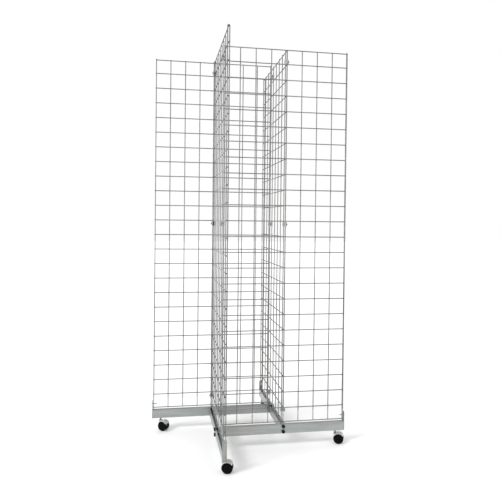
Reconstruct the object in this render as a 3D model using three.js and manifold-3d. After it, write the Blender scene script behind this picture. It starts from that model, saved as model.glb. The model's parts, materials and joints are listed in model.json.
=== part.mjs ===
// Four-way pinwheel gridwall floor display on casters.
// Units are millimetres and +Z is up. The origin is on the floor, under the middle of the pinwheel.
// Each of the four wings holds one grid panel standing on one channel rail. The inner end of
// a wing meets the middle of its neighbour, so the four wings close a small square in plan.
import * as THREE from 'three';
import { mergeVertices } from 'three/addons/utils/BufferGeometryUtils.js';
import Module from 'manifold-3d';

const wasm = await Module();
wasm.setup();

// Grid panel: 24 in by 72 in, 3 in mesh, wire of 3/16 in
const WIRE = 4.8;
const PITCH = 76.2;
const PANEL_WIDTH = 609.6;
const PANEL_HEIGHT = 1828.8;
const RUNG_COUNT = 25;
const INNER_VERTICALS = 7;
const EDGE_X = PANEL_WIDTH / 2 - WIRE / 2;
const LOOP_OUTER = 6.9;
const LOOP_INNER = LOOP_OUTER - WIRE;
const LOOP_WIDTH = 3.8;
const BAR = 4.25;
const RUNG_END = 3.8;
const WELD_SINK = 0.1;
const RUNG_SPAN = PANEL_HEIGHT - 3 * WIRE;
const END_CELL = (RUNG_SPAN - (RUNG_COUNT - 3) * PITCH) / 2;

// Base rail: open-top channel with an end plate at each end
const RAIL_WIDTH = 20;
const RAIL_HEIGHT = 45;
const RAIL_WALL = 2;
const PLATE = 3;
const TAB_RISE = 50;
const CASTER_HEIGHT = 64;
const RAIL_BOTTOM = CASTER_HEIGHT;
const RAIL_TOP = RAIL_BOTTOM + RAIL_HEIGHT;
const RUNG_ABOVE_RAIL = 11;
const PANEL_Z = RAIL_TOP + RUNG_ABOVE_RAIL;

// Pinwheel plan: each panel edge stands this far from the plane of the neighbour it meets
const JUNCTION = 20;
const PLANE = (EDGE_X + JUNCTION) / 2;
const GAP = 0.3;
const RAIL_INNER_END = -PLANE + RAIL_WIDTH / 2 + GAP;
const RAIL_OUTER_END = PLANE + EDGE_X + RUNG_END + 0.6 + PLATE;

// Fasteners
const BOLT_RADIUS = 5;
const BOLT_HEAD_FLATS = 16;
const BOLT_HEAD = 6.4;
const BOLT_OFFSET = 12.5;
const BOLT_TIP = 6;
const SCREW_RADIUS = 2.1;
const SCREW_HEAD_RADIUS = 4.2;
const SCREW_HEAD = 3.2;
const RETAINER_DROP = 20;
const RETAINER_LENGTH = 25;

// Joiner clip: one folded strip around the neighbour's middle wire and the double edge wires
const CLIP_HEIGHT = 22;
const CLIP_THICKNESS = 1.5;
const CLIP_HALF = LOOP_OUTER + 0.6 + CLIP_THICKNESS;
const CLIP_SCREW_X = 12.6;
const CLIP_RUNG_GAP = 2;
const CLIP_BACK = 0.5;
const CLIP_WIRE_HALF = 2.7;
const CLIP_NOSE_HALF = 2.2;
const CLIP_LIP_HALF = 3.5;
const CLIP_CHAMFER = 1.1;
const CLIP_SHOULDER_START = 5.6;
const CLIP_SHOULDER_END = 7.4;

// Twin-wheel caster: two rounded 2 in wheels, a hood between them and a fender over them
const WHEEL_RADIUS = 25.4;
const WHEEL_INNER = 6.4;
const WHEEL_OUTER = 19.4;
const WHEEL_CAP = 2;
const TREAD_CROWN = 4.8;
const TREAD_SHOULDER = 1.6;
const SHOULDER_RADIUS = 23.6;
const FACE_RADIUS = 20.6;
const AXLE_RADIUS = 3;
const AXLE_SHORT = 2.4;
const TRAIL = 18;
const HOOD_HALF = 6;
const HOOD_RADIUS = 27;
const HOOD_START = 32;
const FENDER_INNER = 26.2;
const FENDER_OUTER = 27.8;
const FENDER_FLAT = 14.6;
const FENDER_HALF = 19.9;
const FENDER_DROP = 2.2;
const FENDER_RISE = 14;
const HUB_RADIUS = 17;
const HUB_END = 150;
const NECK_HALF = 8;
const NECK_BOTTOM = 40;
const NECK_TOP = 53;
const HOOD_SADDLE = 50.5;
const LUG_BACK = 19;
const LUG_FRONT = 22.3;
const LUG_TOP = 60;
const COLLAR_RADIUS = 8;
const COLLAR_BOTTOM = 45.5;
const COLLAR_TOP = 54.5;
const STEM_RADIUS = 5;
const RIVET_RADIUS = 7.5;
const RIVET_TOP = 4;
const CASTER_INSET = 44;

const WINGS = [
  { name: 'front', turn: 0, trail: -20 },
  { name: 'right', turn: 90, trail: -8 },
  { name: 'back', turn: 180, trail: -32 },
  { name: 'left', turn: 270, trail: -14 },
];

const CHROME = { color: 0xc4c6c6, roughness: 0.22, metalness: 1.0 };
const ZINC = { color: 0xaab0ae, roughness: 0.38, metalness: 0.9 };
const BLACK_STEEL = { color: 0x2a2b2b, roughness: 0.45, metalness: 0.6 };
const BRIGHT_STEEL = { color: 0xb9bbbb, roughness: 0.3, metalness: 0.95 };
const BLACK_PLASTIC = { color: 0x121212, roughness: 0.5, metalness: 0.0 };

function solidFrom(geometry) {
  const bare = geometry.clone();
  bare.deleteAttribute('normal');
  bare.deleteAttribute('uv');
  const merged = mergeVertices(bare, 1e-4);
  const mesh = new wasm.Mesh({
    numProp: 3,
    vertProperties: new Float32Array(merged.attributes.position.array),
    triVerts: new Uint32Array(merged.index.array),
  });
  return new wasm.Manifold(mesh);
}

function geometryFrom(solid) {
  const mesh = solid.getMesh();
  const geometry = new THREE.BufferGeometry();
  const position = new THREE.BufferAttribute(new Float32Array(mesh.vertProperties), 3);
  geometry.setAttribute('position', position);
  geometry.setIndex(new THREE.BufferAttribute(new Uint32Array(mesh.triVerts), 1));
  geometry.computeVertexNormals();
  return geometry;
}

function join(geometries) {
  const solids = geometries.map(solidFrom);
  return solids.reduce((sum, next) => sum.add(next));
}

function cut(solid, geometries) {
  return geometries.map(solidFrom).reduce((rest, next) => rest.subtract(next), solid);
}

function part(name, geometry, finish) {
  const mesh = new THREE.Mesh(geometry, new THREE.MeshStandardMaterial(finish));
  mesh.name = name;
  return mesh;
}

function box(x0, x1, y0, y1, z0, z1) {
  const geometry = new THREE.BoxGeometry(x1 - x0, y1 - y0, z1 - z0);
  geometry.translate((x0 + x1) / 2, (y0 + y1) / 2, (z0 + z1) / 2);
  return geometry;
}

// A round bar along X from x0 to x1, centred on y and z
function barX(radius, x0, x1, y, z, sides = 12) {
  const geometry = new THREE.CylinderGeometry(radius, radius, x1 - x0, sides);
  geometry.rotateZ(-Math.PI / 2);
  geometry.translate((x0 + x1) / 2, y, z);
  return geometry;
}

function barY(radius, y0, y1, x, z, sides = 12) {
  const geometry = new THREE.CylinderGeometry(radius, radius, y1 - y0, sides);
  geometry.translate(x, (y0 + y1) / 2, z);
  return geometry;
}

function barZ(radius, z0, z1, x, y, sides = 16) {
  const geometry = new THREE.CylinderGeometry(radius, radius, z1 - z0, sides);
  geometry.rotateX(Math.PI / 2);
  geometry.translate(x, y, (z0 + z1) / 2);
  return geometry;
}

// Height of a rung above the bottom rung; rung 0 is the top one
function rungZ(index) {
  if (index === 0) return RUNG_SPAN;
  if (index === RUNG_COUNT - 1) return 0;
  return RUNG_SPAN - END_CELL - (index - 1) * PITCH;
}

// The outer wire of a panel: one closed loop that runs up one face of the rungs and down the other
function edgeLoop(x) {
  const outer = new THREE.Shape();
  outer.absarc(0, RUNG_SPAN, LOOP_OUTER, 0, Math.PI, false);
  outer.absarc(0, 0, LOOP_OUTER, Math.PI, 2 * Math.PI, false);
  outer.closePath();
  const inner = new THREE.Path();
  inner.absarc(0, RUNG_SPAN, LOOP_INNER, 0, Math.PI, false);
  inner.absarc(0, 0, LOOP_INNER, Math.PI, 2 * Math.PI, false);
  inner.closePath();
  outer.holes.push(inner);
  const options = { depth: LOOP_WIDTH, bevelEnabled: false, curveSegments: 4 };
  const geometry = new THREE.ExtrudeGeometry(outer, options);
  geometry.translate(0, 0, -LOOP_WIDTH / 2);
  geometry.rotateX(Math.PI / 2);
  geometry.rotateZ(Math.PI / 2);
  geometry.translate(x, 0, 0);
  return geometry;
}

// The end rungs carry the inner verticals, so they reach a little further towards them
function rung(index) {
  const isEnd = index === 0 || index === RUNG_COUNT - 1;
  const reach = isEnd ? LOOP_INNER + 0.2 + WELD_SINK : LOOP_INNER + WELD_SINK;
  const half = EDGE_X + RUNG_END;
  const z = rungZ(index);
  return box(-half, half, reach - BAR, reach, z - BAR / 2, z + BAR / 2);
}

function innerVertical(index) {
  const x = (index - (INNER_VERTICALS - 1) / 2) * PITCH;
  const y0 = LOOP_INNER + 0.2;
  return box(x - BAR / 2, x + BAR / 2, y0, y0 + BAR, -BAR / 2, RUNG_SPAN + BAR / 2);
}

function gridPanel() {
  const wires = [edgeLoop(-EDGE_X), edgeLoop(EDGE_X)];
  for (let i = 0; i < RUNG_COUNT; i += 1) {
    wires.push(rung(i));
  }
  for (let i = 0; i < INNER_VERTICALS; i += 1) {
    wires.push(innerVertical(i));
  }
  const geometry = geometryFrom(join(wires));
  geometry.translate(PLANE, -PLANE, PANEL_Z);
  return geometry;
}

function channel() {
  const half = RAIL_WIDTH / 2;
  const outline = new THREE.Shape();
  outline.moveTo(-half, 0);
  outline.lineTo(half, 0);
  outline.lineTo(half, RAIL_HEIGHT);
  outline.lineTo(half - RAIL_WALL, RAIL_HEIGHT);
  outline.lineTo(half - RAIL_WALL, RAIL_WALL);
  outline.lineTo(-half + RAIL_WALL, RAIL_WALL);
  outline.lineTo(-half + RAIL_WALL, RAIL_HEIGHT);
  outline.lineTo(-half, RAIL_HEIGHT);
  outline.closePath();
  const length = RAIL_OUTER_END - RAIL_INNER_END;
  const geometry = new THREE.ExtrudeGeometry(outline, { depth: length, bevelEnabled: false });
  geometry.rotateX(Math.PI / 2);
  geometry.rotateZ(Math.PI / 2);
  geometry.translate(RAIL_INNER_END, 0, RAIL_BOTTOM);
  return geometry;
}

// The outer end plate rises above the channel as a round-topped tab
function endTab() {
  const half = RAIL_WIDTH / 2;
  const shoulder = RAIL_HEIGHT + TAB_RISE - half;
  const outline = new THREE.Shape();
  outline.moveTo(-half, 0);
  outline.lineTo(half, 0);
  outline.lineTo(half, shoulder);
  outline.absarc(0, shoulder, half, 0, Math.PI, false);
  outline.closePath();
  const options = { depth: PLATE, bevelEnabled: false, curveSegments: 8 };
  const geometry = new THREE.ExtrudeGeometry(outline, options);
  geometry.rotateX(Math.PI / 2);
  geometry.rotateZ(Math.PI / 2);
  geometry.translate(RAIL_OUTER_END - PLATE, 0, RAIL_BOTTOM);
  return geometry;
}

function boltHeights() {
  const middle = RAIL_BOTTOM + RAIL_HEIGHT / 2;
  return [middle + BOLT_OFFSET, middle - BOLT_OFFSET];
}

function baseRail() {
  const half = RAIL_WIDTH / 2;
  const innerPlate = box(
    RAIL_INNER_END, RAIL_INNER_END + PLATE, -half, half, RAIL_BOTTOM, RAIL_TOP,
  );
  const body = join([channel(), innerPlate, endTab()]);
  const holes = [];
  for (const z of boltHeights()) {
    holes.push(barX(BOLT_RADIUS + GAP, RAIL_INNER_END - 5, RAIL_INNER_END + 10, 0, z));
    holes.push(barY(BOLT_RADIUS + GAP, -RAIL_WIDTH, RAIL_WIDTH, PLANE, z));
  }
  const retainerZ = RAIL_TOP + TAB_RISE - RETAINER_DROP;
  holes.push(barX(SCREW_RADIUS + GAP, RAIL_OUTER_END - 10, RAIL_OUTER_END + 5, 0, retainerZ));
  const stemX = RAIL_OUTER_END - CASTER_INSET;
  holes.push(barZ(STEM_RADIUS + GAP, RAIL_BOTTOM - 5, RAIL_BOTTOM + 5, stemX, 0));
  const geometry = geometryFrom(cut(body, holes));
  geometry.translate(0, -PLANE, 0);
  return geometry;
}

// Plan of the clip, from the plane of the neighbouring panel outwards
function clipOutline() {
  const t = CLIP_THICKNESS;
  const back = CLIP_BACK;
  const wireSide = CLIP_WIRE_HALF;
  const lip = JUNCTION + WIRE / 2 + GAP;
  const upper = [
    [back, CLIP_NOSE_HALF],
    [back + CLIP_CHAMFER, wireSide + t],
    [CLIP_SHOULDER_START, wireSide + t],
    [CLIP_SHOULDER_END, CLIP_HALF],
    [lip + t, CLIP_HALF],
    [lip + t, CLIP_LIP_HALF],
    [lip, CLIP_LIP_HALF],
    [lip, CLIP_HALF - t],
    [CLIP_SHOULDER_END + 1, CLIP_HALF - t],
    [CLIP_SHOULDER_START + 1, wireSide],
    [back + t, wireSide],
  ];
  const lower = upper.map(([u, v]) => [u, -v]).reverse();
  const shape = new THREE.Shape();
  const points = [...upper, ...lower];
  shape.setFromPoints(points.map(([u, v]) => new THREE.Vector2(u, v)));
  return shape;
}

function joinerClip(z) {
  const options = { depth: CLIP_HEIGHT, bevelEnabled: false };
  const strip = new THREE.ExtrudeGeometry(clipOutline(), options);
  strip.translate(0, 0, -CLIP_HEIGHT / 2);
  const hole = barY(SCREW_RADIUS + GAP, -2 * CLIP_HALF, 2 * CLIP_HALF, CLIP_SCREW_X, 0);
  const geometry = geometryFrom(cut(solidFrom(strip), [hole]));
  geometry.translate(-PLANE, -PLANE, z);
  return geometry;
}

// Round-headed screw along Y through both walls of the clip, its head on the outer side
function clipScrew(z) {
  const head = barY(SCREW_HEAD_RADIUS, -CLIP_HALF - GAP - SCREW_HEAD, -CLIP_HALF - GAP, 0, 0);
  const shank = barY(SCREW_RADIUS, -CLIP_HALF - GAP - 1, CLIP_HALF + 2.5, 0, 0);
  const geometry = geometryFrom(join([head, shank]));
  geometry.translate(-PLANE + CLIP_SCREW_X, -PLANE, z);
  return geometry;
}

// Hex bolt through the neighbour's rail and into the inner end plate of this one
function junctionBolt(z) {
  const headFace = -PLANE - RAIL_WIDTH / 2 - GAP;
  const tip = RAIL_INNER_END + PLATE + BOLT_TIP;
  const cornerRadius = BOLT_HEAD_FLATS / Math.sqrt(3);
  const head = barX(cornerRadius, headFace - BOLT_HEAD, headFace, 0, 0, 6);
  const shank = barX(BOLT_RADIUS, headFace - 1, tip, 0, 0);
  const geometry = geometryFrom(join([head, shank]));
  geometry.translate(0, -PLANE, z);
  return geometry;
}

// Screw through the tab that passes between the double edge wires, over the bottom rung
function retainingScrew() {
  const headFace = RAIL_OUTER_END + GAP;
  const z = RAIL_TOP + TAB_RISE - RETAINER_DROP;
  const head = barX(SCREW_HEAD_RADIUS, headFace, headFace + SCREW_HEAD, 0, 0);
  const shank = barX(SCREW_RADIUS - 0.2, headFace - RETAINER_LENGTH, headFace + 1, 0, 0);
  const geometry = geometryFrom(join([head, shank]));
  geometry.translate(0, -PLANE, z);
  return geometry;
}

// The fender: an arched band over both wheels, its edges curled down over the tread shoulders
function casterFender() {
  const edgeInner = FENDER_INNER - FENDER_DROP;
  const edgeOuter = FENDER_OUTER - FENDER_DROP;
  const profile = [
    [FENDER_OUTER, -FENDER_FLAT],
    [FENDER_OUTER, FENDER_FLAT],
    [edgeOuter, FENDER_HALF],
    [edgeInner, FENDER_HALF],
    [FENDER_INNER, FENDER_FLAT],
    [FENDER_INNER, -FENDER_FLAT],
    [edgeInner, -FENDER_HALF],
    [edgeOuter, -FENDER_HALF],
    [FENDER_OUTER, -FENDER_FLAT],
  ];
  const points = profile.map(([r, y]) => new THREE.Vector2(r, y));
  const ring = new THREE.LatheGeometry(points, 32);
  const reach = 2 * FENDER_OUTER;
  const below = box(-reach, reach, -reach, reach, -reach, FENDER_RISE);
  const geometry = geometryFrom(cut(solidFrom(ring), [below]));
  geometry.translate(TRAIL, 0, WHEEL_RADIUS);
  return geometry;
}

// Caster body: hood, fender, a narrow upright lug, a collar and a riveted stem
function casterHousing() {
  const rad = THREE.MathUtils.degToRad;
  const hubStart = rad(HUB_END);
  const hubStop = rad(360 + HOOD_START);
  const hoodStop = Math.acos((LUG_FRONT - TRAIL) / HOOD_RADIUS);
  const outline = new THREE.Shape();
  outline.moveTo(-NECK_HALF, NECK_TOP);
  outline.lineTo(-NECK_HALF, NECK_BOTTOM);
  outline.absarc(TRAIL, WHEEL_RADIUS, HUB_RADIUS, hubStart, hubStop, false);
  outline.absarc(TRAIL, WHEEL_RADIUS, HOOD_RADIUS, rad(HOOD_START), hoodStop, false);
  outline.lineTo(LUG_FRONT, LUG_TOP);
  outline.lineTo(LUG_BACK, LUG_TOP);
  outline.lineTo(LUG_BACK, HOOD_SADDLE);
  outline.lineTo(NECK_HALF, HOOD_SADDLE);
  outline.lineTo(NECK_HALF, NECK_TOP);
  outline.closePath();
  const options = { depth: 2 * HOOD_HALF, bevelEnabled: false, curveSegments: 10 };
  const hood = new THREE.ExtrudeGeometry(outline, options);
  hood.translate(0, 0, -HOOD_HALF);
  hood.rotateX(Math.PI / 2);
  const railFloor = CASTER_HEIGHT + RAIL_WALL;
  const collar = barZ(COLLAR_RADIUS, COLLAR_BOTTOM, COLLAR_TOP, 0, 0, 20);
  const stem = barZ(STEM_RADIUS, NECK_TOP, railFloor + RIVET_TOP - 1, 0, 0);
  const rivet = barZ(RIVET_RADIUS, railFloor + GAP, railFloor + RIVET_TOP, 0, 0);
  const axleHole = barY(AXLE_RADIUS + GAP, -WHEEL_OUTER, WHEEL_OUTER, TRAIL, WHEEL_RADIUS);
  return geometryFrom(cut(join([hood, casterFender(), collar, stem, rivet]), [axleHole]));
}

function casterAxle() {
  const half = WHEEL_OUTER - AXLE_SHORT;
  return barY(AXLE_RADIUS, -half, half, TRAIL, WHEEL_RADIUS);
}

// One of the two wheels, with a rounded tread; side is +1 or -1 along the axle
function casterWheel(side) {
  const bore = AXLE_RADIUS + GAP;
  const profile = [
    [0, WHEEL_OUTER - WHEEL_CAP],
    [bore, WHEEL_OUTER - WHEEL_CAP],
    [bore, WHEEL_INNER],
    [FACE_RADIUS, WHEEL_INNER],
    [SHOULDER_RADIUS, WHEEL_INNER + TREAD_SHOULDER],
    [WHEEL_RADIUS, WHEEL_INNER + TREAD_CROWN],
    [WHEEL_RADIUS, WHEEL_OUTER - TREAD_CROWN],
    [SHOULDER_RADIUS, WHEEL_OUTER - TREAD_SHOULDER],
    [FACE_RADIUS, WHEEL_OUTER],
    [0, WHEEL_OUTER],
  ];
  const points = profile.map(([r, y]) => new THREE.Vector2(r, y));
  const geometry = new THREE.LatheGeometry(points, 24);
  if (side < 0) geometry.rotateZ(Math.PI);
  geometry.translate(TRAIL, 0, WHEEL_RADIUS);
  return geometry;
}

function caster(wing) {
  const group = new THREE.Group();
  group.position.set(RAIL_OUTER_END - CASTER_INSET, -PLANE, 0);
  group.rotation.z = THREE.MathUtils.degToRad(wing.trail - wing.turn);
  group.add(part(`caster_housing_${wing.name}`, casterHousing(), ZINC));
  group.add(part(`caster_axle_${wing.name}`, casterAxle(), BRIGHT_STEEL));
  group.add(part(`caster_wheel_${wing.name}_a`, casterWheel(-1), BLACK_PLASTIC));
  group.add(part(`caster_wheel_${wing.name}_b`, casterWheel(1), BLACK_PLASTIC));
  return group;
}

// Clip levels: above the second rung, and below rungs 11 and 23
function clipLevels() {
  const step = BAR / 2 + CLIP_RUNG_GAP + CLIP_HEIGHT / 2;
  return [
    ['top', PANEL_Z + rungZ(1) + step],
    ['middle', PANEL_Z + rungZ(11) - step],
    ['bottom', PANEL_Z + rungZ(23) - step],
  ];
}

function wingGroup(wing) {
  const group = new THREE.Group();
  group.rotation.z = THREE.MathUtils.degToRad(wing.turn);
  group.add(part(`grid_panel_${wing.name}`, gridPanel(), CHROME));
  group.add(part(`base_rail_${wing.name}`, baseRail(), ZINC));
  for (const [level, z] of clipLevels()) {
    group.add(part(`joiner_clip_${wing.name}_${level}`, joinerClip(z), BRIGHT_STEEL));
    group.add(part(`clip_screw_${wing.name}_${level}`, clipScrew(z), BLACK_STEEL));
  }
  const [upperZ, lowerZ] = boltHeights();
  group.add(part(`rail_bolt_${wing.name}_upper`, junctionBolt(upperZ), BLACK_STEEL));
  group.add(part(`rail_bolt_${wing.name}_lower`, junctionBolt(lowerZ), BLACK_STEEL));
  group.add(part(`retaining_screw_${wing.name}`, retainingScrew(), BRIGHT_STEEL));
  group.add(caster(wing));
  return group;
}

const display = new THREE.Group();
for (const wing of WINGS) {
  display.add(wingGroup(wing));
}

export default display;
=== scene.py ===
"""Four-way pinwheel gridwall display: the detailed, chrome and zinc version around the CAD frame.

Lengths are metres, and named angles are degrees unless a comment says otherwise. The pieces of
a wing are modelled in the front wing's place and then turned about the vertical axis, so each
material's grain runs along its own rail.
"""
import json
import math

import bpy
from mathutils import Matrix, Vector


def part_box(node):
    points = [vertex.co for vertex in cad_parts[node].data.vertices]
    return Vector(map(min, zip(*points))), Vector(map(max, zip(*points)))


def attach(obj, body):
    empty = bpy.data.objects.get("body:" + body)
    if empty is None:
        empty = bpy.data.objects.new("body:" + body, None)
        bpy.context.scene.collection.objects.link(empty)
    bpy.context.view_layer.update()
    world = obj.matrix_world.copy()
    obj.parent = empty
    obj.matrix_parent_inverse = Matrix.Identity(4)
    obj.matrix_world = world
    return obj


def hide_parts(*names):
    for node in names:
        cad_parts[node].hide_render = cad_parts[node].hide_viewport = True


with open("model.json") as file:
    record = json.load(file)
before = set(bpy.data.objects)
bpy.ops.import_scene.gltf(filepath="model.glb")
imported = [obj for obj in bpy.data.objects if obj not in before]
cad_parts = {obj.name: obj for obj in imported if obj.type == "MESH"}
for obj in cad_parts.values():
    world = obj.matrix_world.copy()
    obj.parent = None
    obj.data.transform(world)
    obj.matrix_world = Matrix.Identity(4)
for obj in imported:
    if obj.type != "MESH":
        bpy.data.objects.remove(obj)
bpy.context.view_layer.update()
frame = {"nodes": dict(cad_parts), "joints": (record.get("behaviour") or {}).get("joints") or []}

# ---------------------------------------------------------------- driving dimensions

WINGS = {"front": 0, "right": 90, "back": 180, "left": 270}
LEVELS = ("top", "middle", "bottom")
GAP = 0.0003

# Wire grid. WIRE_ROUND, the rounding of a cut end, is a share of the wire's radius
WIRE_RADIUS = 0.0024
WIRE_ROUND = 0.25
PITCH = 0.0762
RUNGS = 25
INNER_VERTICALS = 7
WELD_DEPTH = 0.0003
RUNG_PAST_EDGE = 0.0014
NUGGET_HALF = (0.0024, 0.0009, 0.0022)

# Rail and its end plates. The weld bead's radius ripples, by BEAD_TURN radians from ring to ring
SHEET = 0.002
RAIL_BEND = 0.003
PLATE = 0.003
PLATE_CORNER = 0.002
BEAD_RADIUS = 0.0015
BEAD_RIPPLE = 0.0003
BEAD_TURN = 2.4
BEAD_OUT = 0.0006
BEAD_BELOW_TOP = 0.004

# Joiner clip
CLIP_SHEET = 0.0015
CLIP_BEND = 0.0022
CLIP_THROAT = 0.0052
CLIP_MOUTH = 0.0072
CLIP_LIP = 0.0035

# Bolts and screws. THREAD_DEPTH and THREAD_START, the depth of the first root, are shares of the
# pitch. PLAIN_SHARE is the part of a bolt's shank without thread, and SCREW_CROWN the width of a
# screw head's top as a share of the whole head's
BOLT_RADIUS = 0.005
BOLT_FLATS = 0.016
BOLT_HEAD = 0.0064
BOLT_PITCH = 0.0015
WASHER_FACE = 0.0004
BOLT_CHAMFER = 0.0011
SCREW_RADIUS = 0.0021
SCREW_PITCH = 0.0007
SCREW_HEAD_RADIUS = 0.0042
SCREW_HEAD = 0.0032
SCREW_RIM = 0.0009
SCREW_CROWN = 0.62
SCREW_SOCKET = 0.0028
SOCKET_DEPTH = 0.0018
PLAIN_SHARE = 0.4
THREAD_DEPTH = 0.5
THREAD_START = 0.4

# Caster hood, fender and lug
HOOD_HALF = 0.006
HOOD_RADIUS = 0.027
HOOD_START = 32
HOOD_LIP = 0.0016
HUB_RADIUS = 0.017
NECK_HALF = 0.008
NECK_ROUND = 0.006
NECK_FOOT = 0.0445
NECK_TOP = 0.053
NECK_FLARE = 0.0015
WEB_TOP = 0.0505
FENDER_INNER = 0.0262
FENDER_SHEET = 0.0015
FENDER_FLAT = 0.0146
FENDER_HALF = 0.0198
FENDER_DROP = 0.0006
FENDER_RISE = 0.0141
LUG_BACK = 0.019
LUG_FRONT = 0.0223
LUG_FOOT = 0.051
LUG_TOP = 0.060
LUG_ROUND = 0.0012
LUG_FILLET = 0.0026

# Caster stem, bearing cup and wheels
STEM_RADIUS = 0.005
STEM_GROOVE = 0.0006
RIVET_RADIUS = 0.0073
RIVET_TIP = 0.0046
RIVET_HEIGHT = 0.004
CUP_RADIUS = 0.008
CUP_BOTTOM = 0.0455
CUP_TOP = 0.0545
RACE_RADIUS = 0.0062
WHEEL_RADIUS = 0.0254
WHEEL_INNER = 0.0064
WHEEL_OUTER = 0.0194
WHEEL_CAP = 0.002
TREAD_CROWN = 0.005
TREAD_SWEEP = 66
AXLE_BORE = 0.0033

# Fineness of the meshes. A turned piece comes to a point as a ring of TIP_RADIUS, and a bend
# takes up no more than LEG_SHARE of the straight beside it
WIRE_SIDES = 12
NUGGET_SIDES = 8
NUGGET_RINGS = 4
BEAD_SIDES = 8
BEAD_RINGS = 46
TIP_RADIUS = 1e-5
LEG_SHARE = 0.49
SHARP_ANGLE = 35
BEVEL_ANGLE = 40
BEVEL_SEGMENTS = 2

# Places read from the frame, on the front wing
panel_low, panel_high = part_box("grid_panel_front")
rail_low, rail_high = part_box("base_rail_front")
PLANE_Y = (rail_low.y + rail_high.y) / 2
PANEL_MIDDLE_X = (panel_low.x + panel_high.x) / 2
RAIL_BOTTOM = rail_low.z
RAIL_WIDTH = rail_high.y - rail_low.y
JOINTS = {joint["name"]: joint for joint in frame["joints"]}

# A face's finish is its place in the piece's list of materials, and it is 0 unless it is told
WELD_METAL, CUT_WIRE = 1, 2
# The inner walls of the channel take a lighter copy of the zinc: painted light in the shade inside it
PAINTED_LIGHT_INSIDE, PLATE_FACE, BEAD_METAL = 1, 2, 3
WHEEL_TREAD, WHEEL_MOULDING = 0, 1


# ---------------------------------------------------------------- mesh making

class Mesh:
    """Collects vertices and faces, each face with the number of its finish."""

    def __init__(self):
        self.points = []
        self.faces = []
        self.finishes = []

    def add_face(self, corners, finish):
        self.faces.append(tuple(corners))
        self.finishes.append(finish)

    def add_rings(self, rings, closed=False, finish=0):
        """Joins rings of equal length into a skin, closed on itself or capped at both ends."""
        start = len(self.points)
        size = len(rings[0])
        for ring in rings:
            self.points.extend(ring)
        count = len(rings)
        for i in range(count if closed else count - 1):
            a = start + i * size
            b = start + ((i + 1) % count) * size
            for j in range(size):
                k = (j + 1) % size
                self.add_face((a + j, a + k, b + k, b + j), finish)
        if not closed:
            last = start + (count - 1) * size
            self.add_face(reversed(range(start, start + size)), finish)
            self.add_face(range(last, last + size), finish)

    def object(self, name, materials, place, bevel=0.0):
        data = bpy.data.meshes.new(name)
        data.from_pydata([tuple(p) for p in self.points], [], self.faces)
        for material in materials:
            data.materials.append(material)
        data.polygons.foreach_set("material_index", self.finishes)
        data.validate()
        data.shade_smooth()
        data.set_sharp_from_angle(angle=math.radians(SHARP_ANGLE))
        made = bpy.data.objects.new(name, data)
        bpy.context.scene.collection.objects.link(made)
        made.matrix_world = place
        if bevel:
            rounding = made.modifiers.new("rounding", "BEVEL")
            rounding.width = bevel
            rounding.segments = BEVEL_SEGMENTS
            rounding.limit_method = "ANGLE"
            rounding.angle_limit = math.radians(BEVEL_ANGLE)
        return made


def axes_for(direction):
    """Two unit vectors square to a direction."""
    along = Vector(direction).normalized()
    helper = Vector((0, 0, 1)) if abs(along.z) < 0.9 else Vector((1, 0, 0))
    side = helper.cross(along).normalized()
    return side, along.cross(side)


def circle(centre, side, up, radius, count, hexness=0.0):
    """A ring of points; hexness 1 turns the circle into a hexagon of that apothem."""
    ring = []
    for i in range(count):
        angle = 2 * math.pi * i / count
        to_corner = math.radians(30) - angle % math.radians(60)
        flat = 1 / math.cos(to_corner)
        r = radius * (1 - hexness + hexness * flat)
        ring.append(Vector(centre) + r * (math.cos(angle) * side + math.sin(angle) * up))
    return ring


def turned(mesh, start, direction, profile, count, finish=0):
    """A turned piece: a profile row is (distance along, radius), and may add its hexness."""
    side, up = axes_for(direction)
    along = Vector(direction).normalized()
    rings = []
    for distance, radius, *hexness in profile:
        centre = Vector(start) + distance * along
        rings.append(circle(centre, side, up, max(radius, TIP_RADIUS), count, *hexness))
    mesh.add_rings(rings, finish=finish)


def wire(mesh, start, end):
    """A straight wire with slightly rounded ends in a finish of their own."""
    along = Vector(end) - Vector(start)
    length = along.length
    edge = WIRE_ROUND * WIRE_RADIUS
    profile = [
        (0, WIRE_RADIUS - edge),
        (edge, WIRE_RADIUS),
        (length - edge, WIRE_RADIUS),
        (length, WIRE_RADIUS - edge),
    ]
    first = len(mesh.faces)
    turned(mesh, start, along, profile, WIRE_SIDES)
    plated = range(first + WIRE_SIDES, first + 2 * WIRE_SIDES)
    for i in range(first, len(mesh.faces)):
        if i not in plated:
            mesh.finishes[i] = CUT_WIRE


def nugget(mesh, x, y, z):
    """The little swelling of metal where two wires are welded."""
    half_x, half_y, half_z = NUGGET_HALF
    rings = []
    for step in range(1, NUGGET_RINGS + 1):
        angle = math.pi * step / (NUGGET_RINGS + 1)
        spread = math.sin(angle)
        ring = []
        for i in range(NUGGET_SIDES):
            turn = 2 * math.pi * i / NUGGET_SIDES
            across = spread * half_y * math.cos(turn)
            rise = spread * half_z * math.sin(turn)
            ring.append(Vector((x - half_x * math.cos(angle), y + across, z + rise)))
        rings.append(ring)
    mesh.add_rings(rings, finish=WELD_METAL)


def rounded_path(points, radius, steps=5):
    """An open path with its inner corners rounded, as far as the legs beside them allow."""
    path = [Vector(points[0])]
    for before, corner, after in zip(points, points[1:], points[2:]):
        corner = Vector(corner)
        to_before = (Vector(before) - corner).normalized()
        to_after = (Vector(after) - corner).normalized()
        half = to_before.angle(to_after) / 2
        reach = min(
            radius / math.tan(half),
            LEG_SHARE * (Vector(before) - corner).length,
            LEG_SHARE * (Vector(after) - corner).length,
        )
        bend = reach * math.tan(half)
        centre = corner + (to_before + to_after).normalized() * bend / math.sin(half)
        first = corner + to_before * reach - centre
        last = corner + to_after * reach - centre
        sweep = first.angle_signed(last)
        for i in range(steps + 1):
            turn = Matrix.Rotation(-sweep * i / steps, 2)
            path.append(centre + turn @ first)
    path.append(Vector(points[-1]))
    return path


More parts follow.
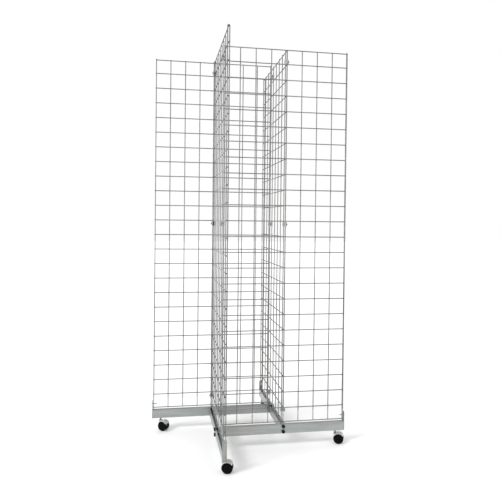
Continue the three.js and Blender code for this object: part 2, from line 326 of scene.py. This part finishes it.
def strip_outline(path, thickness):
    """The closed outline of a folded strip whose middle line is path."""
    left = []
    right = []
    for i, point in enumerate(path):
        ahead = path[min(i + 1, len(path) - 1)] - path[max(i - 1, 0)]
        normal = Vector((-ahead.y, ahead.x)).normalized() * thickness / 2
        left.append(point + normal)
        right.append(point - normal)
    return left + right[::-1]


def extruded(mesh, outline, low, high, axis, finish=0):
    """An outline pushed along an axis: it is (y, z) along X, (x, z) along Y and (x, y) along Z."""
    rings = []
    for level in (low, high):
        if axis == "x":
            rings.append([Vector((level, p.x, p.y)) for p in outline])
        elif axis == "y":
            rings.append([Vector((p.x, level, p.y)) for p in outline])
        else:
            rings.append([Vector((p.x, p.y, level)) for p in outline])
    mesh.add_rings(rings, finish=finish)


def arc(centre, radius, start, end, steps):
    """Points on an arc, angles in degrees."""
    points = []
    for i in range(steps + 1):
        angle = math.radians(start + (end - start) * i / steps)
        x = centre[0] + radius * math.cos(angle)
        y = centre[1] + radius * math.sin(angle)
        points.append(Vector((x, y)))
    return points


# ---------------------------------------------------------------- materials

# Places of the colours among the sockets of Blender's Mix node
MIX_A, MIX_B, MIX_RESULT = 6, 7, 2


class Finish:
    """A material under construction: a Principled shader and helpers to add nodes to it."""

    def __init__(self, name, metallic, **values):
        self.material = bpy.data.materials.new(name)
        self.material.use_nodes = True
        self.nodes = self.material.node_tree.nodes
        self.links = self.material.node_tree.links
        self.shader = self.nodes["Principled BSDF"]
        self.shader.inputs["Metallic"].default_value = metallic
        for key, value in values.items():
            self.shader.inputs[key.replace("_", " ")].default_value = value
        self.place = self.nodes.new("ShaderNodeTexCoord").outputs["Object"]

    def stretched(self, scale):
        mapping = self.nodes.new("ShaderNodeMapping")
        mapping.inputs["Scale"].default_value = scale
        self.links.new(self.place, mapping.inputs["Vector"])
        return mapping.outputs["Vector"]

    def noise(self, scale, stretch=(1, 1, 1), detail=3.0, roughness=0.55):
        texture = self.nodes.new("ShaderNodeTexNoise")
        texture.inputs["Scale"].default_value = scale
        texture.inputs["Detail"].default_value = detail
        texture.inputs["Roughness"].default_value = roughness
        self.links.new(self.stretched(stretch), texture.inputs["Vector"])
        return texture.outputs["Fac"]

    def ramp(self, source, low, high, start=0.35, end=0.65):
        ramp = self.nodes.new("ShaderNodeValToRGB")
        ramp.color_ramp.elements[0].position = start
        ramp.color_ramp.elements[1].position = end
        ramp.color_ramp.elements[0].color = (*low, 1)
        ramp.color_ramp.elements[1].color = (*high, 1)
        self.links.new(source, ramp.inputs["Fac"])
        return ramp.outputs["Color"]

    def spread(self, source, low, high, start=0.3, end=0.7):
        rescale = self.nodes.new("ShaderNodeMapRange")
        rescale.inputs["From Min"].default_value = start
        rescale.inputs["From Max"].default_value = end
        rescale.inputs["To Min"].default_value = low
        rescale.inputs["To Max"].default_value = high
        self.links.new(source, rescale.inputs["Value"])
        return rescale.outputs["Result"]

    def tinted(self, base, other, amount):
        mix = self.nodes.new("ShaderNodeMix")
        mix.data_type = "RGBA"
        self.links.new(amount, mix.inputs["Factor"])
        self.links.new(base, mix.inputs[MIX_A])
        self.links.new(other, mix.inputs[MIX_B])
        return mix.outputs[MIX_RESULT]

    def colour(self, source):
        self.links.new(source, self.shader.inputs["Base Color"])

    def roughness(self, source):
        self.links.new(source, self.shader.inputs["Roughness"])

    def bump(self, source, distance):
        bump = self.nodes.new("ShaderNodeBump")
        bump.inputs["Distance"].default_value = distance
        self.links.new(source, bump.inputs["Height"])
        self.links.new(bump.outputs["Normal"], self.shader.inputs["Normal"])


def grey(level):
    return (level, level, level)


def shaded(colour, shade):
    return tuple(shade * channel for channel in colour)


def chrome_wire():
    """Bright plating over drawn wire: cloudy variation, a fine haze in its roughness and an orange-peel
    skin.
    """
    finish = Finish("chrome_wire", 1.0)
    cloud = finish.noise(9.0, detail=4.0)
    finish.colour(finish.ramp(cloud, (0.33, 0.333, 0.33), (0.48, 0.483, 0.48)))
    haze = finish.noise(160.0)
    finish.roughness(finish.spread(haze, 0.12, 0.26))
    peel = finish.noise(900.0, detail=1.0)
    finish.bump(peel, 0.00003)
    return finish.material


def cut_end():
    """The sheared ends of the rungs: bare, dull and dark."""
    finish = Finish("cut_end", 0.7)
    cloud = finish.noise(900.0, detail=3.0)
    finish.colour(finish.ramp(cloud, (0.05, 0.05, 0.048), (0.13, 0.13, 0.125)))
    finish.roughness(finish.spread(cloud, 0.4, 0.6))
    finish.bump(finish.noise(2200.0), 0.00006)
    return finish.material


def weld_spot():
    """Plated weld metal: darker, rougher and lumpy."""
    finish = Finish("weld_spot", 1.0)
    cloud = finish.noise(420.0, detail=3.0)
    finish.colour(finish.ramp(cloud, (0.28, 0.28, 0.275), (0.46, 0.46, 0.455)))
    finish.roughness(finish.spread(cloud, 0.30, 0.5))
    finish.bump(finish.noise(1500.0), 0.0001)
    return finish.material


def zinc_sheet(name, metallic, shade):
    """Rolled zinc-plated sheet: long streaks, a blue-green cast in patches, small dull spots."""
    finish = Finish(name, metallic)
    streaks = finish.noise(60.0, stretch=(0.06, 1, 1), detail=5.0, roughness=0.65)
    patches = finish.noise(5.0, detail=2.0)
    warm = finish.ramp(streaks, shaded((0.385, 0.38, 0.37), shade), shaded((0.52, 0.515, 0.505), shade))
    cool = finish.ramp(streaks, shaded((0.36, 0.385, 0.375), shade), shaded((0.47, 0.50, 0.49), shade))
    finish.colour(finish.tinted(warm, cool, finish.spread(patches, 0.0, 1.0, 0.42, 0.58)))
    grain = finish.noise(500.0, stretch=(0.05, 1, 1), detail=2.0)
    finish.roughness(finish.spread(grain, 0.30, 0.46))
    finish.bump(grain, 0.00005)
    return finish.material


def plate_steel():
    """The end plates: a thicker, darker and warmer plated steel with cloudy patches."""
    finish = Finish("plate_steel", 0.95)
    cloud = finish.noise(45.0, stretch=(1, 1, 0.5), detail=5.0, roughness=0.6)
    finish.colour(finish.ramp(cloud, (0.27, 0.272, 0.25), (0.37, 0.372, 0.345)))
    finish.roughness(finish.spread(finish.noise(400.0), 0.34, 0.5))
    finish.bump(finish.noise(900.0), 0.00006)
    return finish.material


def bright_zinc(name, low, high):
    """Stamped and plated small parts."""
    finish = Finish(name, 1.0)
    cloud = finish.noise(70.0, detail=4.0)
    finish.colour(finish.ramp(cloud, grey(low), grey(high)))
    finish.roughness(finish.spread(finish.noise(300.0), 0.22, 0.38))
    finish.bump(finish.noise(900.0), 0.00006)
    return finish.material


def black_oxide():
    """Blackened steel with bare metal just showing through."""
    finish = Finish("black_oxide", 0.5, Specular_IOR_Level=0.3)
    wear = finish.noise(380.0, detail=5.0, roughness=0.7)
    finish.colour(finish.ramp(wear, grey(0.006), (0.045, 0.045, 0.042), 0.45, 0.85))
    finish.roughness(finish.spread(wear, 0.38, 0.56))
    finish.bump(finish.noise(1200.0), 0.00006)
    return finish.material


def cast_zinc():
    """The caster hood: bright satin cast metal with a fine pebbled skin."""
    finish = Finish("cast_zinc", 0.75)
    cloud = finish.noise(120.0, detail=4.0)
    finish.colour(finish.ramp(cloud, (0.70, 0.70, 0.69), (0.84, 0.84, 0.83)))
    finish.roughness(finish.spread(cloud, 0.38, 0.54))
    finish.bump(finish.noise(1100.0), 0.0001)
    return finish.material


def black_wheel(name, low, high, rough):
    """Black wheel plastic, dusty and finely scuffed: rough is its range of roughness."""
    finish = Finish(name, 0.0, Specular_IOR_Level=0.05)
    scuff = finish.noise(240.0, detail=5.0, roughness=0.7)
    finish.colour(finish.ramp(scuff, grey(low), (high, high, 0.96 * high), 0.4, 0.8))
    finish.roughness(finish.spread(scuff, *rough))
    finish.bump(scuff, 0.00008)
    return finish.material


def floor_paper():
    """Seamless studio paper."""
    finish = Finish("floor_paper", 0.0, Roughness=0.9)
    fibre = finish.noise(180.0, detail=3.0)
    finish.colour(finish.ramp(fibre, grey(0.92), grey(0.93)))
    return finish.material


CHROME = chrome_wire()
WELD = weld_spot()
CUT_END = cut_end()
ZINC = zinc_sheet("zinc_sheet", 0.97, 0.93)
# The insides of the channel walls: the zinc made lighter and nearly not metallic, painted light that fills
# the shade of the hollow
ZINC_INSIDE_PAINTED_LIGHT = zinc_sheet("zinc_inside_painted_light", 0.12, 1.5)
PLATE_STEEL = plate_steel()
BRIGHT = bright_zinc("bright_zinc", 0.48, 0.64)
# The stem and bearing cup: the plated finish made darker, painted shade for their place in the gap under
# the rail
STEM_PAINTED_SHADE = bright_zinc("stem_steel_painted_shade", 0.22, 0.34)
BLACK = black_oxide()
CAST = cast_zinc()
TREAD = black_wheel("black_tread", 0.003, 0.014, (0.55, 0.72))
MOULDING = black_wheel("black_moulding", 0.002, 0.008, (0.36, 0.48))


# ---------------------------------------------------------------- grid panel

BOTTOM_RUNG = panel_low.z + 3 * WIRE_RADIUS - WELD_DEPTH
TOP_RUNG = panel_high.z - 3 * WIRE_RADIUS + WELD_DEPTH
END_CELL = (TOP_RUNG - BOTTOM_RUNG - (RUNGS - 3) * PITCH) / 2
RUNG_HALF = (panel_high.x - panel_low.x) / 2
EDGE_HALF = RUNG_HALF - WIRE_RADIUS - RUNG_PAST_EDGE
LAYER = 2 * WIRE_RADIUS - WELD_DEPTH


def rung_heights():
    inner = [BOTTOM_RUNG + END_CELL + i * PITCH for i in range(RUNGS - 2)]
    return [BOTTOM_RUNG, *inner, TOP_RUNG]


def edge_loop(mesh, x):
    """The double edge wire: up in front of the rungs, round the top one and down behind them."""
    steps = 10
    rings = []
    across = Vector((1, 0, 0))
    for rung, start in ((TOP_RUNG, 0), (BOTTOM_RUNG, math.pi)):
        for i in range(steps + 1):
            angle = start + math.pi * i / steps
            y = LAYER * math.cos(angle)
            z = rung + LAYER * math.sin(angle)
            outward = Vector((0, math.cos(angle), math.sin(angle)))
            rings.append(circle((x, PLANE_Y + y, z), outward, across, WIRE_RADIUS, WIRE_SIDES))
    mesh.add_rings(rings, closed=True)


def grid_panel():
    mesh = Mesh()
    left = PANEL_MIDDLE_X - RUNG_HALF
    right = PANEL_MIDDLE_X + RUNG_HALF
    edges = (PANEL_MIDDLE_X - EDGE_HALF, PANEL_MIDDLE_X + EDGE_HALF)
    middle = (INNER_VERTICALS - 1) / 2
    verticals = [PANEL_MIDDLE_X + (i - middle) * PITCH for i in range(INNER_VERTICALS)]
    for x in edges:
        edge_loop(mesh, x)
    for x in verticals:
        y = PLANE_Y + LAYER
        wire(mesh, (x, y, BOTTOM_RUNG - WIRE_RADIUS), (x, y, TOP_RUNG + WIRE_RADIUS))
    for z in rung_heights():
        wire(mesh, (left, PLANE_Y, z), (right, PLANE_Y, z))
        for x in verticals:
            nugget(mesh, x, PLANE_Y + LAYER / 2, z)
        for x in edges:
            for side in (-1, 1):
                nugget(mesh, x, PLANE_Y + side * LAYER / 2, z)
    return mesh


# ---------------------------------------------------------------- base rail

def middle_height(node):
    low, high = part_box(node)
    return (low.z + high.z) / 2


# One bolt sits as far below the top edge of the channel as the other sits above its bottom
RAIL_TOP = middle_height("rail_bolt_front_upper") + middle_height("rail_bolt_front_lower") - RAIL_BOTTOM


def channel():
    """The folded sheet; the insides of its two walls have a lighter, nearly unmetallic finish of their own,
    painted light in the shaded hollow of the channel.
    """
    mesh = Mesh()
    half = RAIL_WIDTH / 2
    middle = half - SHEET / 2
    fold = [
        (PLANE_Y - middle, RAIL_TOP),
        (PLANE_Y - middle, RAIL_BOTTOM + SHEET / 2),
        (PLANE_Y + middle, RAIL_BOTTOM + SHEET / 2),
        (PLANE_Y + middle, RAIL_TOP),
    ]
    section = strip_outline(rounded_path(fold, RAIL_BEND), SHEET)
    extruded(mesh, section, rail_low.x + PLATE / 2, rail_high.x - PLATE / 2, "x")
    # A face whose middle is nearer than this to the outside of the sheet is an outer face
    skin = 0.6 * SHEET
    for i, face in enumerate(mesh.faces):
        centre = sum((mesh.points[corner] for corner in face), Vector()) / len(face)
        wall = abs(centre.y - PLANE_Y) < half - skin
        if len(face) == 4 and wall and centre.z > RAIL_BOTTOM + skin:
            mesh.finishes[i] = PAINTED_LIGHT_INSIDE
    return mesh


def end_plate(mesh, x, top, rounded):
    """A welded plate that closes the channel; the outer one rises as a round-topped tab."""
    half = RAIL_WIDTH / 2
    corner = PLATE_CORNER
    outline = arc((PLANE_Y - half + corner, RAIL_BOTTOM + corner), corner, 180, 270, 4)
    outline += arc((PLANE_Y + half - corner, RAIL_BOTTOM + corner), corner, 270, 360, 4)
    if rounded:
        outline += arc((PLANE_Y, top - half), half, 0, 180, 20)
    else:
        outline += [Vector((PLANE_Y + half, top)), Vector((PLANE_Y - half, top))]
    extruded(mesh, outline, x, x + PLATE, "x", PLATE_FACE)


def weld_bead(mesh, x, toward):
    """The fillet of weld metal along the inside of a plate, across the channel floor and walls."""
    half = RAIL_WIDTH / 2 - SHEET
    top = RAIL_TOP - BEAD_BELOW_TOP
    low = RAIL_BOTTOM + SHEET
    path = [Vector(p) for p in ((-half, top), (-half, low), (half, low), (half, top))]
    lengths = [(b - a).length for a, b in zip(path, path[1:])]
    total = sum(lengths)
    outward = Vector((1, 0, 0))
    rings = []
    for i in range(BEAD_RINGS + 1):
        at = total * i / BEAD_RINGS
        leg = 0
        while leg < len(lengths) - 1 and at > lengths[leg]:
            at -= lengths[leg]
            leg += 1
        step = path[leg + 1] - path[leg]
        place = path[leg] + step * min(at / lengths[leg], 1)
        centre = Vector((x + toward * BEAD_OUT, PLANE_Y + place.x, place.y))
        size = BEAD_RADIUS + BEAD_RIPPLE * math.cos(BEAD_TURN * i)
        run = Vector((0, step.normalized().x, step.normalized().y))
        rings.append(circle(centre, outward, outward.cross(run), size, BEAD_SIDES))
    mesh.add_rings(rings, finish=BEAD_METAL)


def base_rail():
    mesh = channel()
    inner = rail_low.x
    outer = rail_high.x - PLATE
    end_plate(mesh, inner, RAIL_TOP, rounded=False)
    end_plate(mesh, outer, rail_high.z, rounded=True)
    weld_bead(mesh, inner + PLATE, 1)
    weld_bead(mesh, outer, -1)
    return mesh


# ---------------------------------------------------------------- clips and fasteners

def clip_outline():
    """The folded strip in plan, from the neighbour's middle wire to behind the double edge."""
    low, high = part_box("joiner_clip_front_middle")
    t = CLIP_SHEET / 2
    nose = low.x + t
    lip = high.x - t
    throat = nose + CLIP_THROAT
    mouth = nose + CLIP_MOUTH
    wide = (high.y - low.y) / 2 - t
    narrow = WIRE_RADIUS + GAP + t
    half = [(nose, narrow), (throat, narrow), (mouth, wide), (lip, wide), (lip, CLIP_LIP)]
    fold = [(x, -y) for x, y in reversed(half)] + half
    path = rounded_path([(x, y + PLANE_Y) for x, y in fold], CLIP_BEND, 4)
    return strip_outline(path, CLIP_SHEET)


def joiner_clip(level):
    low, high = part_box(f"joiner_clip_front_{level}")
    mesh = Mesh()
    extruded(mesh, clip_outline(), low.z, high.z, "z")
    return mesh


def threaded(start, end, radius, pitch):
    """Profile rows of a threaded shank: root, crest, root, and so on."""
    rows = [(start, radius - THREAD_START * pitch)]
    for i in range(int((end - start) / pitch)):
        rows.append((start + (i + 0.5) * pitch, radius))
        rows.append((start + (i + 1) * pitch, radius - THREAD_DEPTH * pitch))
    return rows


def socket_screw(mesh, face, direction, length, thread_start):
    """A button-head screw with a hexagon socket; face is the underside of its head."""
    r = SCREW_HEAD_RADIUS
    top = SCREW_HEAD - 0.0002
    head = [(0.0, r - 0.0003), (0.0003, r), (SCREW_RIM, r)]
    steps = 5
    for i in range(1, steps + 1):
        angle = math.radians(90 * i / steps)
        rise = (top - SCREW_RIM) * math.sin(angle)
        head.append((SCREW_RIM + rise, r * (SCREW_CROWN + (1 - SCREW_CROWN) * math.cos(angle))))
    head += [
        (top, SCREW_SOCKET / 2, 1),
        (SCREW_HEAD - SOCKET_DEPTH, 0.96 * SCREW_SOCKET / 2, 1),
        (SCREW_HEAD - SOCKET_DEPTH - 0.0005, 0.0),
    ]
    turned(mesh, face, -Vector(direction), head, 36)
    shank = [(0.0, SCREW_RADIUS), *threaded(thread_start, length, SCREW_RADIUS, SCREW_PITCH)]
    turned(mesh, face, direction, shank, 16)


def clip_screw(level):
    low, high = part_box(f"clip_screw_front_{level}")
    mesh = Mesh()
    face = ((low.x + high.x) / 2, low.y + SCREW_HEAD, (low.z + high.z) / 2)
    socket_screw(mesh, face, (0, 1, 0), high.y - low.y - SCREW_HEAD, 0.003)
    return mesh


def retaining_screw():
    low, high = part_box("retaining_screw_front")
    mesh = Mesh()
    face = (high.x - SCREW_HEAD, (low.y + high.y) / 2, (low.z + high.z) / 2)
    socket_screw(mesh, face, (-1, 0, 0), high.x - low.x - SCREW_HEAD, 0.001)
    return mesh


def rail_bolt(position):
    """A hexagon-head bolt: washer face, chamfered head and threaded tip."""
    low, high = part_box(f"rail_bolt_front_{position}")
    mesh = Mesh()
    face = Vector((low.x + BOLT_HEAD, (low.y + high.y) / 2, (low.z + high.z) / 2))
    apothem = BOLT_FLATS / 2
    head = [
        (0.0, 0.95 * apothem),
        (WASHER_FACE, 0.95 * apothem),
        (WASHER_FACE, apothem, 1),
        (BOLT_HEAD - BOLT_CHAMFER, apothem, 1),
        (BOLT_HEAD - 0.0005, apothem, 0.45),
        (BOLT_HEAD, 0.92 * apothem),
        (BOLT_HEAD, 0.60 * apothem),
        (BOLT_HEAD - 0.0003, 0.52 * apothem),
    ]
    turned(mesh, face, (-1, 0, 0), head, 48)
    length = high.x - face.x
    plain = PLAIN_SHARE * length
    shank = [(0.0, BOLT_RADIUS), (plain, BOLT_RADIUS), *threaded(plain, length, BOLT_RADIUS, BOLT_PITCH)]
    turned(mesh, face, (1, 0, 0), shank, 24)
    return mesh


# ---------------------------------------------------------------- casters
# Modelled about the swivel axis, with the wheel trailing along +X and its axle along Y.

def caster_trail(name):
    """Distance and direction, in plan, from the swivel axis to the axle."""
    offset = Vector(JOINTS[f"roll_{name}_a"]["pos_m"]) - Vector(JOINTS[f"swivel_{name}"]["pos_m"])
    return math.hypot(offset.x, offset.y), math.atan2(offset.y, offset.x)


TRAIL = caster_trail("front")[0]


def caster_place(name):
    swivel = Vector(JOINTS[f"swivel_{name}"]["pos_m"])
    turn = Matrix.Rotation(caster_trail(name)[1], 4, "Z")
    return Matrix.Translation((swivel.x, swivel.y, 0)) @ turn


def hood_outline():
    """Side view of the cast hood: neck under the stem, hub round the axle, hood and upright lug."""
    axle = (TRAIL, WHEEL_RADIUS)
    lug_angle = math.degrees(math.acos((LUG_FRONT - TRAIL) / HOOD_RADIUS))
    lug_shoulder = LUG_TOP - LUG_ROUND
    outline = [Vector((-NECK_HALF, NECK_TOP)), Vector((-NECK_HALF, NECK_FOOT))]
    outline += arc((NECK_ROUND - NECK_HALF, NECK_FOOT), NECK_ROUND, 180, 215, 4)[1:]
    outline += arc(axle, HUB_RADIUS, 150, 350 + HOOD_START, 30)
    outline += arc(axle, HOOD_RADIUS - HOOD_LIP, HOOD_START - 4, HOOD_START + 1, 2)
    outline += arc(axle, HOOD_RADIUS, HOOD_START + 5, lug_angle - 6, 10)
    outline += [Vector((LUG_FRONT, LUG_FOOT)), Vector((LUG_FRONT, lug_shoulder))]
    outline += arc((LUG_FRONT - LUG_ROUND, lug_shoulder), LUG_ROUND, 0, 90, 3)[1:]
    outline += arc((LUG_BACK + LUG_ROUND, lug_shoulder), LUG_ROUND, 90, 180, 3)
    outline += arc((LUG_BACK - LUG_FILLET, WEB_TOP + LUG_FILLET), LUG_FILLET, 0, -90, 4)
    outline += [Vector((NECK_HALF + NECK_FLARE, WEB_TOP)), Vector((NECK_HALF, WEB_TOP + 0.001))]
    outline += [Vector((NECK_HALF, NECK_TOP))]
    return outline


def fender(mesh):
    """The arched band over both wheels, its edges curled down over the tread shoulders."""
    inner = [(-FENDER_FLAT, 0.0), (FENDER_FLAT, 0.0)]
    curl_steps = 5
    for i in range(1, curl_steps + 1):
        curl = math.radians(90 * i / curl_steps)
        along = FENDER_FLAT + (FENDER_HALF - FENDER_FLAT) * math.sin(curl)
        drop = FENDER_DROP * (1 - math.cos(curl))
        inner.insert(0, (-along, -drop))
        inner.append((along, -drop))
    outer = [(y, rise + FENDER_SHEET) for y, rise in reversed(inner)]
    end = math.degrees(math.asin(FENDER_RISE / FENDER_INNER))
    rings = []
    for spoke in arc((0, 0), 1, end, 180 - end, 28):
        ring = []
        for y, rise in inner + outer:
            r = FENDER_INNER + rise
            ring.append(Vector((TRAIL + r * spoke.x, y, WHEEL_RADIUS + r * spoke.y)))
        rings.append(ring)
    mesh.add_rings(rings)


def caster_hood():
    mesh = Mesh()
    extruded(mesh, hood_outline(), -HOOD_HALF, HOOD_HALF, "y")
    fender(mesh)
    return mesh


def caster_stem(stem_top):
    """Bearing cup with its race ring, and the grooved stem with its riveted head."""
    mesh = Mesh()
    up = (0, 0, 1)
    cup = [
        (0.0, CUP_RADIUS - 0.0008), (0.0008, CUP_RADIUS),
        (0.0062, CUP_RADIUS), (0.0070, CUP_RADIUS - 0.0006),
        (0.0074, RACE_RADIUS + 0.0004), (0.0080, RACE_RADIUS), (0.0086, RACE_RADIUS),
        (CUP_TOP - CUP_BOTTOM, RACE_RADIUS - 0.0006),
    ]
    turned(mesh, (0, 0, CUP_BOTTOM), up, cup, 40)
    neck = stem_top - RIVET_HEIGHT - CUP_TOP
    groove = STEM_RADIUS - STEM_GROOVE
    stem = [
        (-0.0004, STEM_RADIUS - 0.0002), (0.0012, STEM_RADIUS),
        (0.0018, groove), (0.0030, groove),
        (0.0036, STEM_RADIUS), (neck, STEM_RADIUS),
        (neck + 0.0003, RIVET_RADIUS), (neck + 0.0026, RIVET_RADIUS - 0.0003),
        (neck + RIVET_HEIGHT, RIVET_TIP),
    ]
    turned(mesh, (0, 0, CUP_TOP), up, stem, 32)
    return mesh


def wheel_tread():
    """Profile rows of the rounded tread, from the inner shoulder to the outer one."""
    middle = (WHEEL_INNER + WHEEL_OUTER) / 2
    half = (WHEEL_OUTER - WHEEL_INNER) / 2
    rows = []
    steps = 14
    for i in range(steps + 1):
        angle = math.radians(-TREAD_SWEEP + 2 * TREAD_SWEEP * i / steps)
        drop = TREAD_CROWN * (1 - math.cos(angle))
        rows.append((middle + half * math.sin(angle), WHEEL_RADIUS - drop))
    return rows


def wheel_bore():
    """Profile rows from the end of the blind axle bore round the hollow inner face to its rim."""
    end = WHEEL_OUTER - WHEEL_CAP
    hollow = [
        (0.0001, AXLE_BORE), (0.0001, 0.0066), (0.0036, 0.0078),
        (0.0036, 0.0196), (0.0006, 0.0209), (0.0005, 0.0223),
    ]
    return [(end, 0.0), (end, AXLE_BORE)] + [(WHEEL_INNER + depth, radius) for depth, radius in hollow]


def wheel_face():
    """Profile rows of the outer face, from its stepped rim over the disc to the hub cap."""
    face = [
        (0.0006, 0.0223), (0.0011, 0.0218), (0.0011, 0.0211), (0.0002, 0.0205),
        (0.0, 0.0192), (0.0002, 0.0150), (0.0009, 0.0088), (0.0013, 0.0080),
        (0.0013, 0.0074), (0.0005, 0.0070), (0.0002, 0.0058), (0.0, 0.0030), (0.0, 0.0004),
    ]
    return [(WHEEL_OUTER - depth, radius) for depth, radius in face]


def caster_wheel(side):
    """One closed surface from the bore to the hub cap, with the tread in its own finish."""
    mesh = Mesh()
    bore = wheel_bore()
    tread = wheel_tread()
    count = 64
    turned(mesh, (TRAIL, 0, WHEEL_RADIUS), (0, side, 0), bore + tread + wheel_face(), count, WHEEL_MOULDING)
    first = len(bore)
    for i in range(first * count, (first + len(tread) - 1) * count):
        mesh.finishes[i] = WHEEL_TREAD
    return mesh


# ---------------------------------------------------------------- assembly

def placed(mesh, name, node, body, materials, place, bevel=0.0):
    made = mesh.object(name, materials, place, bevel)
    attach(made, body)
    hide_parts(node)


def build_wing(name, turn):
    place = Matrix.Rotation(math.radians(turn), 4, "Z")
    placed(grid_panel(), f"wire_grid_{name}", f"grid_panel_{name}", "root",
           [CHROME, WELD, CUT_END], place)
    placed(base_rail(), f"channel_rail_{name}", f"base_rail_{name}", "root",
           [ZINC, ZINC_INSIDE_PAINTED_LIGHT, PLATE_STEEL, WELD], place, bevel=0.0004)
    for level in LEVELS:
        placed(joiner_clip(level), f"clip_strip_{name}_{level}", f"joiner_clip_{name}_{level}",
               "root", [BRIGHT], place, bevel=0.0003)
        placed(clip_screw(level), f"socket_screw_{name}_{level}", f"clip_screw_{name}_{level}",
               "root", [BLACK], place)
    for position in ("upper", "lower"):
        placed(rail_bolt(position), f"hex_bolt_{name}_{position}", f"rail_bolt_{name}_{position}",
               "root", [BLACK], place)
    placed(retaining_screw(), f"end_screw_{name}", f"retaining_screw_{name}", "root",
           [BRIGHT], place)


def build_caster(name):
    place = caster_place(name)
    stem_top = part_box(f"caster_housing_{name}")[1].z
    body = f"caster_{name}"
    placed(caster_hood(), f"cast_hood_{name}", f"caster_housing_{name}", body,
           [CAST], place, bevel=0.0005)
    stem = caster_stem(stem_top).object(f"stem_and_cup_{name}", [STEM_PAINTED_SHADE], place)
    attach(stem, body)
    axle = frame["nodes"][f"caster_axle_{name}"]
    axle.data.materials.clear()
    axle.data.materials.append(BRIGHT)
    for letter, side in (("a", -1), ("b", 1)):
        placed(caster_wheel(side), f"twin_wheel_{name}_{letter}", f"caster_wheel_{name}_{letter}",
               f"wheel_{name}_{letter}", [TREAD, MOULDING], place)


for wing_name, wing_turn in WINGS.items():
    build_wing(wing_name, wing_turn)
    build_caster(wing_name)


# ---------------------------------------------------------------- studio

CARD_AZIMUTHS = (20, 62, 108, 150, 200, 250, 305, 340)
CARD_DISTANCE = 4.0
CARD_HEIGHT = 2.2
OVERHEAD_HEIGHT = 3.6
LOW_CARD_HEIGHT = 0.17
FLOOR_HALF = 30.0


def sheet(name, corners, material):
    """A flat four-cornered sheet that belongs to the studio."""
    data = bpy.data.meshes.new(name)
    data.from_pydata([tuple(corner) for corner in corners], [], [(0, 1, 2, 3)])
    data.materials.append(material)
    made = bpy.data.objects.new(name, data)
    bpy.context.scene.collection.objects.link(made)
    return made


def studio_floor():
    half = FLOOR_HALF
    corners = [(-half, -half, 0), (half, -half, 0), (half, half, 0), (-half, half, 0)]
    sheet("studio_floor", corners, floor_paper())


def soft_sun(azimuth, elevation, strength, spread):
    """A broad light far away, so the floor is lit evenly to the horizon."""
    data = bpy.data.lights.new("soft_sun", "SUN")
    data.energy = strength
    data.angle = math.radians(spread)
    light = bpy.data.objects.new("soft_sun", data)
    bpy.context.scene.collection.objects.link(light)
    angle = math.radians(azimuth)
    rise = math.radians(elevation)
    level = math.cos(rise)
    source = Vector((level * math.cos(angle), level * math.sin(angle), math.sin(rise)))
    light.rotation_mode = "QUATERNION"
    light.rotation_quaternion = (-source).to_track_quat("-Z", "Y")


def reflector(name, centre, facing, width, height, shade):
    """A grey card that shows in reflections only, as the cards round a studio set do."""
    side, up = axes_for(facing)
    side *= width / 2
    up *= height / 2
    centre = Vector(centre)
    corners = [centre - side - up, centre + side - up, centre + side + up, centre - side + up]
    finish = Finish(name, 0.0, Base_Color=(*grey(shade), 1), Roughness=0.9)
    card = sheet(name, corners, finish.material)
    card.visible_camera = False
    card.visible_diffuse = False
    card.visible_shadow = False


def studio():
    world = bpy.data.worlds.new("studio")
    bpy.context.scene.world = world
    world.use_nodes = True
    backdrop = world.node_tree.nodes["Background"]
    backdrop.inputs["Color"].default_value = (1.0, 1.0, 1.0, 1)
    backdrop.inputs["Strength"].default_value = 1.0
    studio_floor()
    soft_sun(azimuth=211, elevation=38, strength=1.5, spread=16)
    for azimuth in CARD_AZIMUTHS:
        angle = math.radians(azimuth)
        place = Vector((CARD_DISTANCE * math.cos(angle), CARD_DISTANCE * math.sin(angle), CARD_HEIGHT))
        reflector(f"side_card_{azimuth}", place, -place, width=0.8, height=4.0, shade=0.03)
    overhead = (0, 0, OVERHEAD_HEIGHT)
    low = (0, 0, LOW_CARD_HEIGHT)
    reflector("overhead_card", overhead, (0, 0, -1), width=4.0, height=4.0, shade=0.10)
    reflector("low_card", low, (0, 0, 1), width=16.0, height=16.0, shade=0.42)
    bpy.context.scene.view_settings.view_transform = "Standard"


# Camera: eye height a little above a metre, turned to the right of +Y, with a 43 mm lens on a
# sensor 36 mm wide. Angles are in degrees, and a negative tilt looks down.
CAMERA_PLACE = (-0.4584, -3.0151, 1.0992)
CAMERA_TURN = -10.726
CAMERA_TILT = -0.917
CAMERA_ROLL = 0.653
SENSOR = 36.0
LENS = 43.02
SHIFT = (-0.0387, -0.0370)


def camera():
    data = bpy.data.cameras.new("camera")
    data.sensor_width = SENSOR
    data.lens = LENS
    data.shift_x, data.shift_y = SHIFT
    data.clip_end = 200
    made = bpy.data.objects.new("camera", data)
    bpy.context.scene.collection.objects.link(made)
    turn = Matrix.Rotation(math.radians(CAMERA_TURN), 4, "Z")
    tilt = Matrix.Rotation(math.radians(90 + CAMERA_TILT), 4, "X")
    roll = Matrix.Rotation(math.radians(CAMERA_ROLL), 4, "Z")
    made.matrix_world = Matrix.Translation(CAMERA_PLACE) @ turn @ tilt @ roll
    bpy.context.scene.camera = made


studio()
camera()
